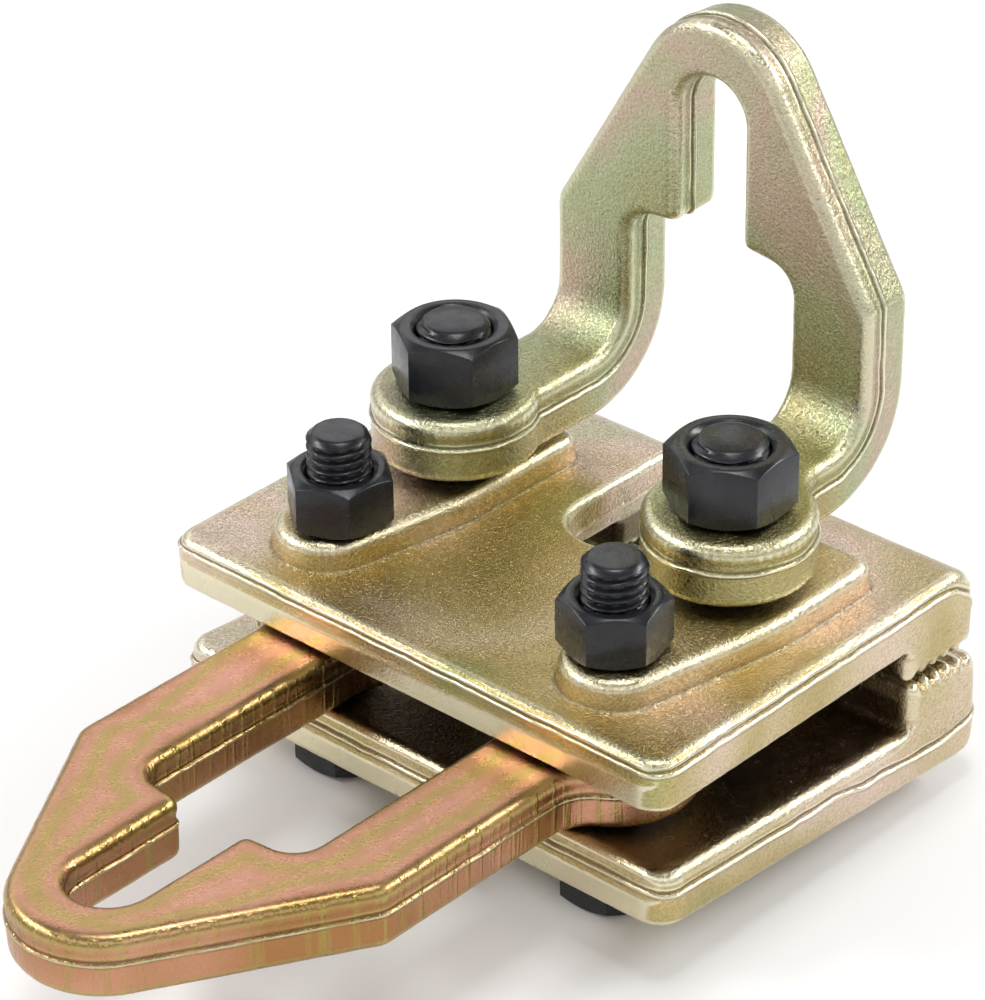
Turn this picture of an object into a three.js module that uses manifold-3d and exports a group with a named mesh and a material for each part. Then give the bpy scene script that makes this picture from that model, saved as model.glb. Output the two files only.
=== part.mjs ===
// Two-way pull clamp for straightening body panels: two forged jaws drawn together by four bolts, one pull ring
// lying flat between the jaws and the same ring bent upright on the upper jaw. Millimetres, +Z up, gripping edge
// towards +X, flat ring towards -X.
import * as THREE from "three";
import { mergeVertices } from "three/addons/utils/BufferGeometryUtils.js";
import Module from "manifold-3d";

const wasm = await Module();
wasm.setup();

// Heights below are measured from the upper jaw's inside face, and x from the middle of the upper jaw.
const FRONT_X = -44.6;
const JAW_WIDTH = 120;
const UPPER = { length: 93, thickness: 9.8, nose: 9.6, lip: 7.6, lean: 1.2, pad: 5.3 };
const LOWER = { length: 94, thickness: 10.4, nose: 8, lip: 9.8, lean: 2.6, pad: 2.5 };
const CORNER_RADIUS = 6;
const EDGE_ROUND = 2;
const LIP_START = 70.8;
const TOOTH_COUNT = 5;
const TOOTH_DEPTH = 1.1;
const SLOT_HALF_WIDTH = 9;
const SLOT_END = 60;

// The lower jaw leans away from the upper one towards its gripping edge.
const LOWER_FRONT_X = -42.6;
const LOWER_FRONT_Z = -14;
const LOWER_TILT = THREE.MathUtils.degToRad(4);

const BOLT_Y = 33;
const SMALL_X = -24.8;
const BIG_X = 6.4;
const SMALL_HOLE_U = SMALL_X - FRONT_X;
const BIG_HOLE_U = BIG_X - FRONT_X;
const PAD_ROUND = 1.6;
const PAD_INNER = -13;
const PAD_OUTER = 17.6;

const SMALL = { radius: 6, acrossFlats: 18, headHeight: 7.5, nutHeight: 10.5, pitch: 1.75, hole: 6.5 };
const BIG = { radius: 7, acrossFlats: 21, headHeight: 8.8, nutHeight: 12.2, pitch: 2, hole: 7.5 };
const CLEARANCE = 0.3;
const SMALL_END = 7.6;
const BIG_END = 1.4;
const HEAD_BOTTOM_Z = -36.7;

const RING_THICKNESS = 12.7;
const RING_ROUND = 2.3;
const EYE_RADIUS = 16.5;
const ARM_INNER = 18.7;
const ARM_OUTER = 37.8;
const SHOULDER_S = 62.9;
const STEP_S = 66.8;
const NOSE_S = 92;
const RING_NOSE_RADIUS = 17.8;
const RING_SLOT = 7.1;
const RING_SLOT_END = 90.7;
const FLAT_RING_TOP_Z = -0.8;
const FLAT_RING_HOLE = 6.75;
const SPACER_RADIUS = 11;
const SPACER_HEIGHT = 1.5;
const BEND_START_X = 30.5;
const BEND_RADIUS = 15;
// The stretch of the flat outline that the bend takes up, a little less than the bend's middle line.
const BEND_LENGTH = 22.4;
const BEND_STEPS = 8;

const PLATE = { color: 0xb9b487, roughness: 0.42, metalness: 0.85 };
const FLAT_RING = { color: 0xb08552, roughness: 0.38, metalness: 0.85 };
const UPRIGHT_RING = { color: 0xb5ae82, roughness: 0.42, metalness: 0.85 };
const BLACK = { color: 0x1d1e20, roughness: 0.4, metalness: 0.7 };

// ---- solids ----

function toSolid(geometry) {
  const bare = geometry.index ? geometry.toNonIndexed() : geometry.clone();
  bare.deleteAttribute("normal");
  bare.deleteAttribute("uv");
  const merged = mergeVertices(bare, 1e-4);
  const vertProperties = new Float32Array(merged.attributes.position.array);
  const triVerts = new Uint32Array(merged.index.array);
  return new wasm.Manifold(new wasm.Mesh({ numProp: 3, vertProperties, triVerts }));
}

function toGeometry(solid) {
  const mesh = solid.getMesh();
  const geometry = new THREE.BufferGeometry();
  geometry.setAttribute("position", new THREE.BufferAttribute(new Float32Array(mesh.vertProperties), 3));
  geometry.setIndex(new THREE.BufferAttribute(new Uint32Array(mesh.triVerts), 1));
  geometry.computeVertexNormals();
  return geometry;
}

function cylinder(radius, low, high, x, y, segments = 28) {
  const geometry = new THREE.CylinderGeometry(radius, radius, high - low, segments);
  geometry.rotateX(Math.PI / 2);
  geometry.translate(x, y, (low + high) / 2);
  return toSolid(geometry);
}

// A plan outline made solid between two heights, with its edges rounded inside the outline.
function plate(shape, low, high, round, curveSegments = 8, roundSteps = 2) {
  const geometry = new THREE.ExtrudeGeometry(shape, {
    depth: high - low - 2 * round,
    bevelEnabled: round > 0,
    bevelThickness: round,
    bevelSize: round,
    bevelOffset: -round,
    bevelSegments: roundSteps,
    curveSegments,
  });
  geometry.translate(0, 0, low + round);
  return toSolid(geometry);
}

// A side profile drawn in x and z, made solid across the whole width of a jaw.
function acrossWidth(points) {
  const shape = new THREE.Shape(points);
  const geometry = new THREE.ExtrudeGeometry(shape, { depth: JAW_WIDTH + 10, bevelEnabled: false });
  geometry.rotateX(Math.PI / 2);
  geometry.translate(0, JAW_WIDTH / 2 + 5, 0);
  return toSolid(geometry);
}

function block(x0, x1, y0, y1, z0, z1) {
  const geometry = new THREE.BoxGeometry(x1 - x0, y1 - y0, z1 - z0);
  geometry.translate((x0 + x1) / 2, (y0 + y1) / 2, (z0 + z1) / 2);
  return toSolid(geometry);
}

function arcPoints(cx, cy, radius, from, to, steps) {
  const points = [];
  for (let i = 0; i <= steps; i += 1) {
    const angle = from + ((to - from) * i) / steps;
    points.push(new THREE.Vector2(cx + radius * Math.cos(angle), cy + radius * Math.sin(angle)));
  }
  return points;
}

// ---- jaws ----
// A jaw is drawn with its front edge at x = 0, its inside face at z = 0, its outside face upwards and its lip
// hanging below.

function jawOutline(length) {
  const half = JAW_WIDTH / 2;
  const inset = CORNER_RADIUS;
  const shape = new THREE.Shape();
  shape.moveTo(inset, -half);
  shape.lineTo(length - inset, -half);
  shape.absarc(length - inset, -half + inset, inset, -Math.PI / 2, 0, false);
  shape.lineTo(length, half - inset);
  shape.absarc(length - inset, half - inset, inset, 0, Math.PI / 2, false);
  shape.lineTo(inset, half);
  shape.absarc(inset, half - inset, inset, Math.PI / 2, Math.PI, false);
  shape.lineTo(0, -half + inset);
  shape.absarc(inset, -half + inset, inset, Math.PI, 1.5 * Math.PI, false);
  return shape;
}

function nosePoints(jaw) {
  return arcPoints(jaw.length - jaw.nose, jaw.thickness - jaw.nose, jaw.nose, 0, Math.PI / 2, 5);
}

// The gripping face with its teeth, then the rear wall, which leans in towards the lip's free corner.
function lipPoints(jaw) {
  const points = [];
  const first = LIP_START + 0.8;
  const last = jaw.length - jaw.lean - 2.8;
  const pitch = (last - first) / TOOTH_COUNT;
  for (let i = 0; i < TOOTH_COUNT; i += 1) {
    const start = first + i * pitch;
    points.push(new THREE.Vector2(start, -jaw.lip));
    points.push(new THREE.Vector2(start + 0.35 * pitch, -jaw.lip));
    points.push(new THREE.Vector2(start + 0.7 * pitch, -jaw.lip + TOOTH_DEPTH));
  }
  points.push(new THREE.Vector2(last, -jaw.lip + 0.2));
  points.push(new THREE.Vector2(last + 2, -jaw.lip + 1.1));
  points.push(new THREE.Vector2(last + 2.8, -jaw.lip + 3));
  return points;
}

// A pad's plan, with its bolts on y = 0 and the side towards the jaw's edge upwards.
function padOutline() {
  const end = BIG_HOLE_U + 21.8;
  const small = 10.5;
  const corner = 4.2;
  const start = Math.PI / 2 + 0.24;
  const shape = new THREE.Shape();
  shape.absarc(SMALL_HOLE_U - 1.7, 1.7, small, start, 2 * Math.PI - start, false);
  shape.lineTo(BIG_HOLE_U - 14.5, PAD_INNER + 0.6);
  shape.lineTo(BIG_HOLE_U - 9, PAD_INNER);
  shape.absarc(end - corner, PAD_INNER + corner, corner, -Math.PI / 2, 0, false);
  shape.absarc(end - corner, PAD_OUTER - corner, corner, 0, Math.PI / 2, false);
  shape.lineTo(BIG_HOLE_U - 4, PAD_OUTER);
  shape.lineTo(BIG_HOLE_U - 14, PAD_OUTER - 1.4);
  shape.closePath();
  return shape;
}

function addPads(solid, jaw) {
  const pad = plate(padOutline(), jaw.thickness - 3, jaw.thickness + jaw.pad, PAD_ROUND, 5);
  const left = pad.translate([0, BOLT_Y, 0]);
  return solid.add(left).add(left.mirror([0, 1, 0]));
}

function slotCutter() {
  const reach = LOWER.length + 10;
  const shape = new THREE.Shape();
  shape.absarc(SLOT_END, 0, SLOT_HALF_WIDTH, Math.PI / 2, 1.5 * Math.PI, false);
  shape.lineTo(reach, -SLOT_HALF_WIDTH);
  shape.lineTo(reach, SLOT_HALF_WIDTH);
  shape.closePath();
  return plate(shape, -30, 30, 0, 10);
}

function upperJaw() {
  const profile = [new THREE.Vector2(0, 0), new THREE.Vector2(LIP_START, 0), ...lipPoints(UPPER)];
  profile.push(...nosePoints(UPPER), new THREE.Vector2(0, UPPER.thickness));
  const blank = plate(jawOutline(UPPER.length), -20, UPPER.thickness, EDGE_ROUND, 4);
  let jaw = addPads(blank.intersect(acrossWidth(profile)), UPPER).subtract(slotCutter());
  for (const side of [-1, 1]) {
    jaw = jaw.subtract(cylinder(SMALL.hole, -5, 30, SMALL_HOLE_U, side * BOLT_Y));
    jaw = jaw.subtract(cylinder(BIG.hole, -5, 30, BIG_HOLE_U, side * BOLT_Y));
  }
  const geometry = toGeometry(jaw);
  geometry.translate(FRONT_X, 0, 0);
  return geometry;
}

// The bolts stay upright while the lower jaw leans, so its holes are slots along x.
function boltSlot(from, to, radius, y) {
  const shape = new THREE.Shape();
  shape.absarc(from, 0, radius, Math.PI / 2, 1.5 * Math.PI, false);
  shape.absarc(to, 0, radius, -Math.PI / 2, Math.PI / 2, false);
  shape.closePath();
  return plate(shape, -5, 30, 0, 12).translate([0, y, 0]);
}

function lowerJaw() {
  const length = LOWER.length;
  const body = [new THREE.Vector2(0, 0), new THREE.Vector2(length, 0), ...nosePoints(LOWER)];
  body.push(new THREE.Vector2(0, LOWER.thickness));
  const lip = [new THREE.Vector2(LIP_START - 1, 2), new THREE.Vector2(LIP_START, 0), ...lipPoints(LOWER)];
  lip.push(new THREE.Vector2(length, 1), new THREE.Vector2(length, 2));
  let jaw = plate(jawOutline(length), 0, LOWER.thickness + 20, EDGE_ROUND, 4).intersect(acrossWidth(body));
  jaw = jaw.add(plate(jawOutline(length), -20, 20, 0, 4).intersect(acrossWidth(lip)));
  jaw = addPads(jaw, LOWER).subtract(slotCutter());
  const pose = new THREE.Matrix4().makeRotationY(LOWER_TILT);
  pose.multiply(new THREE.Matrix4().makeRotationX(Math.PI));
  pose.setPosition(LOWER_FRONT_X, 0, LOWER_FRONT_Z);
  for (const side of [-1, 1]) {
    jaw = jaw.subtract(boltSlot(SMALL_HOLE_U - 2.1, SMALL_HOLE_U + 0.4, SMALL.hole, side * BOLT_Y));
    jaw = jaw.subtract(boltSlot(BIG_HOLE_U - 2, BIG_HOLE_U + 0.7, BIG.hole, side * BOLT_Y));
  }
  const placed = toGeometry(jaw);
  placed.applyMatrix4(pose);
  let result = toSolid(placed);
  const seatZ = HEAD_BOTTOM_Z + BIG.headHeight + CLEARANCE;
  for (const side of [-1, 1]) {
    result = result.subtract(cylinder(15, -60, seatZ, BIG_X - 0.6, side * BOLT_Y));
  }
  return toGeometry(result);
}

// ---- pull rings ----
// Both rings are one forging: s runs from the eyes to the nose, y across. Only the upright one is bent.

function ringOutline() {
  const shape = new THREE.Shape();
  const tangent = Math.atan2(ARM_OUTER, NOSE_S - SHOULDER_S);
  const reach = Math.hypot(NOSE_S - SHOULDER_S, ARM_OUTER);
  const lean = tangent - Math.asin(RING_NOSE_RADIUS / reach);
  const noseTurn = Math.PI / 2 - lean;
  const fillet = 7;
  const filletY = ARM_OUTER + fillet;
  const filletS = Math.sqrt((EYE_RADIUS + fillet) ** 2 - (filletY - BOLT_Y) ** 2);
  const eyeTurn = Math.atan2(filletY - BOLT_Y, filletS);
  const innerTurn = Math.asin((ARM_INNER - BOLT_Y) / EYE_RADIUS);
  const half = [];
  half.push(...arcPoints(NOSE_S, 0, RING_NOSE_RADIUS, 0, noseTurn, 6));
  half.push(new THREE.Vector2(SHOULDER_S + 1.6, ARM_OUTER - 0.75));
  half.push(new THREE.Vector2(SHOULDER_S - 1.6, ARM_OUTER));
  half.push(...arcPoints(filletS, filletY, fillet, -Math.PI / 2, -Math.PI + eyeTurn, 3));
  half.push(...arcPoints(0, BOLT_Y, EYE_RADIUS, eyeTurn + 0.18, 2 * Math.PI + innerTurn, 14));
  half.push(...arcPoints(STEP_S - 6.2, ARM_INNER - 5, 5, Math.PI / 2, 0.15, 4));
  half.push(...arcPoints(STEP_S + 2, RING_SLOT + 2.8, 2.8, -Math.PI * 0.95, -Math.PI / 2, 3));
  half.push(...arcPoints(RING_SLOT_END, 0, RING_SLOT, Math.PI / 2, 0, 6));
  const other = half.slice(1, -1).map((p) => new THREE.Vector2(p.x, -p.y)).reverse();
  shape.setFromPoints([...half, ...other]);
  return shape;
}

function flatRingSolid() {
  return plate(ringOutline(), -RING_THICKNESS / 2, RING_THICKNESS / 2, RING_ROUND);
}

function flatPullRing() {
  let ring = flatRingSolid();
  for (const side of [-1, 1]) {
    ring = ring.subtract(cylinder(FLAT_RING_HOLE, -20, 20, 0, side * BOLT_Y));
  }
  const geometry = toGeometry(ring);
  geometry.rotateZ(Math.PI);
  geometry.translate(SMALL_X, 0, FLAT_RING_TOP_Z - RING_THICKNESS / 2);
  return geometry;
}

// The bent stretch of an arm: a quarter turn with one straight step at each end.
class BendPath extends THREE.Curve {
  getPoint(t) {
    const total = BEND_STEPS + 2;
    const step = (Math.PI / 2) * (BEND_RADIUS / BEND_STEPS);
    const along = t * total - 1;
    const angle = (Math.min(Math.max(along, 0), BEND_STEPS) / BEND_STEPS) * (Math.PI / 2);
    const x = BEND_RADIUS * Math.sin(angle) + Math.min(along, 0) * step;
    const z = BEND_RADIUS * (1 - Math.cos(angle)) + Math.max(along - BEND_STEPS, 0) * step;
    return new THREE.Vector3(x, 0, z);
  }

  getPointAt(t) {
    return this.getPoint(t);
  }

  getTangentAt(t) {
    const along = t * (BEND_STEPS + 2) - 1;
    const angle = (Math.min(Math.max(along, 0), BEND_STEPS) / BEND_STEPS) * (Math.PI / 2);
    return new THREE.Vector3(Math.cos(angle), 0, Math.sin(angle));
  }
}

function armSection(inner, outer) {
  const middle = (inner + outer) / 2;
  const halfWidth = (outer - inner) / 2 - RING_ROUND;
  const halfHeight = RING_THICKNESS / 2 - RING_ROUND;
  const points = [];
  for (let quarter = 0; quarter < 4; quarter += 1) {
    const cx = quarter === 0 || quarter === 3 ? halfHeight : -halfHeight;
    const cy = quarter < 2 ? middle + halfWidth : middle - halfWidth;
    points.push(...arcPoints(cx, cy, RING_ROUND, (quarter * Math.PI) / 2, ((quarter + 1) * Math.PI) / 2, 2));
  }
  return new THREE.Shape(points);
}

function uprightPullRing() {
  const bendStartS = BEND_START_X - BIG_X;
  const bendEndS = bendStartS + BEND_LENGTH;
  const whole = flatRingSolid();
  const eyes = whole.intersect(block(-40, bendStartS, -60, 60, -20, 20)).translate([-bendStartS, 0, 0]);
  const loopSolid = whole.intersect(block(bendEndS, 130, -60, 60, -20, 20)).translate([-bendEndS, 0, 0]);
  const loop = toGeometry(loopSolid);
  loop.rotateY(-Math.PI / 2);
  loop.translate(BEND_RADIUS, 0, BEND_RADIUS);
  let ring = eyes.add(toSolid(loop));
  for (const side of [-1, 1]) {
    const inner = side > 0 ? ARM_INNER : -ARM_OUTER;
    const arm = new THREE.ExtrudeGeometry(armSection(inner, inner + ARM_OUTER - ARM_INNER), {
      steps: BEND_STEPS + 2,
      extrudePath: new BendPath(),
    });
    ring = ring.add(toSolid(arm));
    ring = ring.subtract(cylinder(BIG.hole, -20, 20, -bendStartS, side * BOLT_Y));
  }
  const geometry = toGeometry(ring);
  geometry.translate(BEND_START_X, 0, EYE_BOTTOM_Z + RING_THICKNESS / 2);
  return geometry;
}

// ---- hardware ----

const SEAT_Z = UPPER.thickness + UPPER.pad + CLEARANCE;
const EYE_BOTTOM_Z = SEAT_Z + SPACER_HEIGHT + CLEARANCE;
const BIG_NUT_Z = EYE_BOTTOM_Z + RING_THICKNESS + CLEARANCE;

function lathe(points, segments = 28) {
  const closed = points.map(([r, z]) => new THREE.Vector2(r, z));
  const geometry = new THREE.LatheGeometry(closed, segments);
  geometry.rotateX(Math.PI / 2);
  return toSolid(geometry);
}

// A hexagon between two heights, with the corners turned off at 30 degrees on the chosen ends.
function hexagon(acrossFlats, low, high, turnLow, turnHigh) {
  const corner = acrossFlats / Math.sqrt(3);
  const face = acrossFlats / 2 - 0.4;
  const drop = (corner + 0.5 - face) * Math.tan(Math.PI / 6);
  const geometry = new THREE.CylinderGeometry(corner, corner, high - low, 6);
  geometry.rotateX(Math.PI / 2);
  geometry.translate(0, 0, (low + high) / 2);
  const turned = [[0, low]];
  if (turnLow) {
    turned.push([face, low], [corner + 0.5, low + drop]);
  } else {
    turned.push([corner + 0.5, low]);
  }
  if (turnHigh) {
    turned.push([corner + 0.5, high - drop], [face, high]);
  } else {
    turned.push([corner + 0.5, high]);
  }
  turned.push([0, high]);
  return toSolid(geometry).intersect(lathe(turned, 36));
}

function nut(size) {
  const mouth = size.radius + 0.9;
  const bore = size.radius + CLEARANCE;
  const rim = 0.6;
  const hole = [[0, -1], [mouth, -1], [mouth, 0], [bore, rim], [bore, size.nutHeight - rim]];
  hole.push([mouth, size.nutHeight], [mouth, size.nutHeight + 1], [0, size.nutHeight + 1]);
  return hexagon(size.acrossFlats, 0, size.nutHeight, true, true).subtract(lathe(hole));
}

// A bolt stands on its head at z = 0; the top of its thread is cut with grooves one pitch apart.
function bolt(size, length, threads) {
  const r = size.radius;
  const depth = 0.54 * size.pitch;
  const shank = [[0, size.headHeight - 1], [r, size.headHeight - 1]];
  const top = length - 1.2;
  for (let i = threads; i > 0; i -= 1) {
    const crest = top - i * size.pitch;
    shank.push([r, crest], [r - depth, crest + 0.5 * size.pitch]);
  }
  shank.push([r, top], [r - 1.1, length - 0.25], [r - 2.2, length], [0, length]);
  return hexagon(size.acrossFlats, 0, size.headHeight, true, false).add(lathe(shank));
}

// ---- assembly ----

const SMALL_LENGTH = SEAT_Z + SMALL.nutHeight + SMALL_END - HEAD_BOTTOM_Z;
const BIG_LENGTH = BIG_NUT_Z + BIG.nutHeight + BIG_END - HEAD_BOTTOM_Z;

const assembly = new THREE.Group();
assembly.name = "two_way_pull_clamp";

// The row frame stands on the bolt heads, with its origin below the middle of the outline.
const LOWEST_X = SMALL_X - NOSE_S - RING_NOSE_RADIUS;
const HIGHEST_X = BEND_START_X + BEND_RADIUS + RING_THICKNESS / 2;
const SHIFT_X = -(LOWEST_X + HIGHEST_X) / 2;

function addPart(name, geometry, finish, x = 0, y = 0, z = 0, turn = 0) {
  const mesh = new THREE.Mesh(geometry, new THREE.MeshStandardMaterial(finish));
  mesh.name = name;
  mesh.position.set(x + SHIFT_X, y, z - HEAD_BOTTOM_Z);
  mesh.rotation.z = turn;
  assembly.add(mesh);
}

addPart("upper_jaw", upperJaw(), PLATE);
addPart("lower_jaw", lowerJaw(), PLATE);
addPart("flat_pull_ring", flatPullRing(), FLAT_RING);
addPart("upright_pull_ring", uprightPullRing(), UPRIGHT_RING);

const SIDES = [
  { side: "left", y: BOLT_Y, smallTurn: 0.4, bigTurn: 0.49 },
  { side: "right", y: -BOLT_Y, smallTurn: 0.74, bigTurn: 0.56 },
];
for (const { side, y, smallTurn, bigTurn } of SIDES) {
  const spacer = cylinder(SPACER_RADIUS, 0, SPACER_HEIGHT, 0, 0).subtract(cylinder(BIG.hole, -1, 5, 0, 0));
  addPart("spacer_" + side, toGeometry(spacer), BLACK, BIG_X, y, SEAT_Z);
  addPart("small_bolt_" + side, toGeometry(bolt(SMALL, SMALL_LENGTH, 5)), BLACK, SMALL_X, y, HEAD_BOTTOM_Z, smallTurn);
  addPart("small_nut_" + side, toGeometry(nut(SMALL)), BLACK, SMALL_X, y, SEAT_Z, smallTurn);
  addPart("big_bolt_" + side, toGeometry(bolt(BIG, BIG_LENGTH, 2)), BLACK, BIG_X, y, HEAD_BOTTOM_Z, bigTurn);
  addPart("big_nut_" + side, toGeometry(nut(BIG)), BLACK, BIG_X, y, BIG_NUT_Z, bigTurn);
}

export default assembly;
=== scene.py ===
"""Looks of the two-way pull clamp: forged, yellow zinc plated jaws and rings, black hardware."""
import math

import bmesh
import bpy
import numpy as np
from mathutils import Matrix, Vector


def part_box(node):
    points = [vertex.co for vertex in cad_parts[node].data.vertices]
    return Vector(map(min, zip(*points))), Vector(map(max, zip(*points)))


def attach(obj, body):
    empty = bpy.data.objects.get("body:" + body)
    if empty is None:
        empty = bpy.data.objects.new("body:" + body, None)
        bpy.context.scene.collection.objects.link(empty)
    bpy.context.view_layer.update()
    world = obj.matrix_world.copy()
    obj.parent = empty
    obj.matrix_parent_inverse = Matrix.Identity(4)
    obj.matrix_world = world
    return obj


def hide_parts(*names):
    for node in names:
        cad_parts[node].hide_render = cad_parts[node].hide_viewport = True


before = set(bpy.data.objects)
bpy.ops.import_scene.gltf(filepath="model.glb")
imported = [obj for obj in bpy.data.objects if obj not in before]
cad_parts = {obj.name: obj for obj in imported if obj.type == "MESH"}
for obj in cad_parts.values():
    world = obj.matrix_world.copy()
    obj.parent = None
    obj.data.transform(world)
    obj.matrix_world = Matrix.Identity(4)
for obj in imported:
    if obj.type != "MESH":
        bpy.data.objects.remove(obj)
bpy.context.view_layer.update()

MM = 0.001
TAU = 2 * math.pi

# Sizes in millimetres. Heights are from the upper jaw's inside face, x from the middle of the jaws.
JAW_WIDTH, JAW_CORNER = 120.0, 6.0
UPPER = {"length": 93.0, "thickness": 9.8, "nose": 9.6, "lip": 7.6, "lean": 1.2, "pad": 5.3}
LOWER = {"length": 94.0, "thickness": 10.4, "nose": 8.0, "lip": 9.8, "lean": 2.6, "pad": 2.5}
LIP_START, TEETH, TOOTH_DEPTH = 70.8, 5, 1.1
SLOT_END, SLOT_R = 60.0, 9.0
FRONT_X = -44.6
SMALL_X, BIG_X, BOLT_Y = -24.8, 6.4, 33.0
SMALL_U, BIG_U = SMALL_X - FRONT_X, BIG_X - FRONT_X
LOWER_X, LOWER_Z, LOWER_TILT = -42.6, -14.0, math.radians(4.0)
RING_T, RING_ROUND = 12.7, 2.2
EYE_R, ARM_IN, ARM_OUT = 16.5, 18.7, 37.8
SHOULDER_S, STEP_S, NOSE_S, NOSE_RING_R = 62.9, 66.8, 92.0, 17.8
RING_SLOT, RING_SLOT_END = 7.1, 90.7
FLAT_TOP_Z = -0.8
BEND_X, BEND_R, BEND_LENGTH = 30.5, 15.0, 22.4
GAP = 0.3
SEAT_Z = UPPER["thickness"] + UPPER["pad"] + GAP
SPACER_H, SPACER_R = 1.5, 11.0
EYE_Z = SEAT_Z + SPACER_H + GAP
BIG_NUT_Z = EYE_Z + RING_T + GAP
HEAD_Z = -36.7
PAD_ROUND = 2.0
SMALL_HOLE, BIG_HOLE, FLAT_RING_HOLE, SPOT_FACE_R = 6.5, 7.5, 6.75, 15
# M12 and M14 hardware. Flats, heads and pitches are standard ones. The nut heights, where the thread starts
# and "stand", which is how far the bolt's end rises above its nut, were estimated from the photograph.
SMALL = {"radius": 6, "flats": 18, "head": 7.5, "nut": 10.5, "pitch": 1.75, "thread_from": 50, "stand": 7.6}
BIG = {"radius": 7, "flats": 21, "head": 8.8, "nut": 12.2, "pitch": 2, "thread_from": 66, "stand": 1.4}
BIG_BOLT_DOME = 0.25
# Forged sides are set back by this much, so that the flash line standing on them ends at the outline.
FLASH_HEIGHT = 0.42

jaw_low, jaw_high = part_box("upper_jaw")
SHIFT = np.array([jaw_low.x / MM - FRONT_X, 0.0, jaw_high.z / MM - UPPER["thickness"] - UPPER["pad"]])


# ---------------------------------------------------------------- fields and meshes

def arc(cx, cy, r, a0, a1, n):
    """n + 1 points of a circular arc, from angle a0 to a1."""
    a = np.linspace(a0, a1, n + 1)
    return np.stack([cx + r * np.cos(a), cy + r * np.sin(a)], 1)


def polygon_distance(poly, a, b):
    """Signed distance to a closed polygon, negative inside."""
    best, sign = None, None
    for p, q in zip(poly, np.roll(poly, -1, 0)):
        e = q - p
        wx, wy = a - p[0], b - p[1]
        t = np.clip((wx * e[0] + wy * e[1]) / max(e @ e, 1e-12), 0, 1)
        d = (wx - t * e[0]) ** 2 + (wy - t * e[1]) ** 2
        c1, c2, c3 = wy >= 0, b < q[1], e[0] * wy > e[1] * wx
        flip = (c1 & c2 & c3) | (~c1 & ~c2 & ~c3)
        best = d if best is None else np.minimum(best, d)
        s = np.where(flip, -1.0, 1.0)
        sign = s if sign is None else sign * s
    return sign * np.sqrt(best)


def round_max(a, b, r):
    """Intersection of two fields, its edge rounded to radius r."""
    return np.minimum(np.maximum(a, b), -r) + np.hypot(np.maximum(r + a, 0), np.maximum(r + b, 0))


def smooth_min(a, b, k):
    """Union of two fields, blended over the width k."""
    h = np.maximum(k - np.abs(a - b), 0) / k
    return np.minimum(a, b) - h * h * k / 4


def smooth_step(a, b, x):
    """0 at a, 1 at b, smooth between them; a may be above b."""
    t = np.clip((x - a) / (b - a), 0, 1)
    return t * t * (3 - 2 * t)


_lattice = np.random.default_rng(7).uniform(-1, 1, (32, 32, 32))


def noise(x, y, z, size, seed=0):
    """Smooth value noise between -1 and 1; size is the length of one lump in each direction."""
    size = np.broadcast_to(size, (3,))
    parts = []
    for c, s, k in zip((x, y, z), size, (seed * 3.71, seed * 5.13, seed * 7.39)):
        p = c / s + k
        i = np.floor(p).astype(int)
        f = p - i
        parts.append((i % 32, (i + 1) % 32, f * f * (3 - 2 * f)))
    (x0, x1, fx), (y0, y1, fy), (z0, z1, fz) = parts
    total = 0
    for xi, wx in ((x0, 1 - fx), (x1, fx)):
        for yi, wy in ((y0, 1 - fy), (y1, fy)):
            for zi, wz in ((z0, 1 - fz), (z1, fz)):
                total = total + _lattice[xi, yi, zi] * wx * wy * wz
    return total


def line_noise(along, size, seed):
    """The same noise along one line."""
    return noise(along, 0 * along, 0 * along, size, seed)


def graded(*parts):
    """One grid axis from (end, step) parts, the first part being the start."""
    out = [parts[0]]
    for end, step in parts[1:]:
        n = max(1, round((end - out[-1]) / step))
        out += np.linspace(out[-1], end, n + 1)[1:].tolist()
    return np.array(out)


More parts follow.
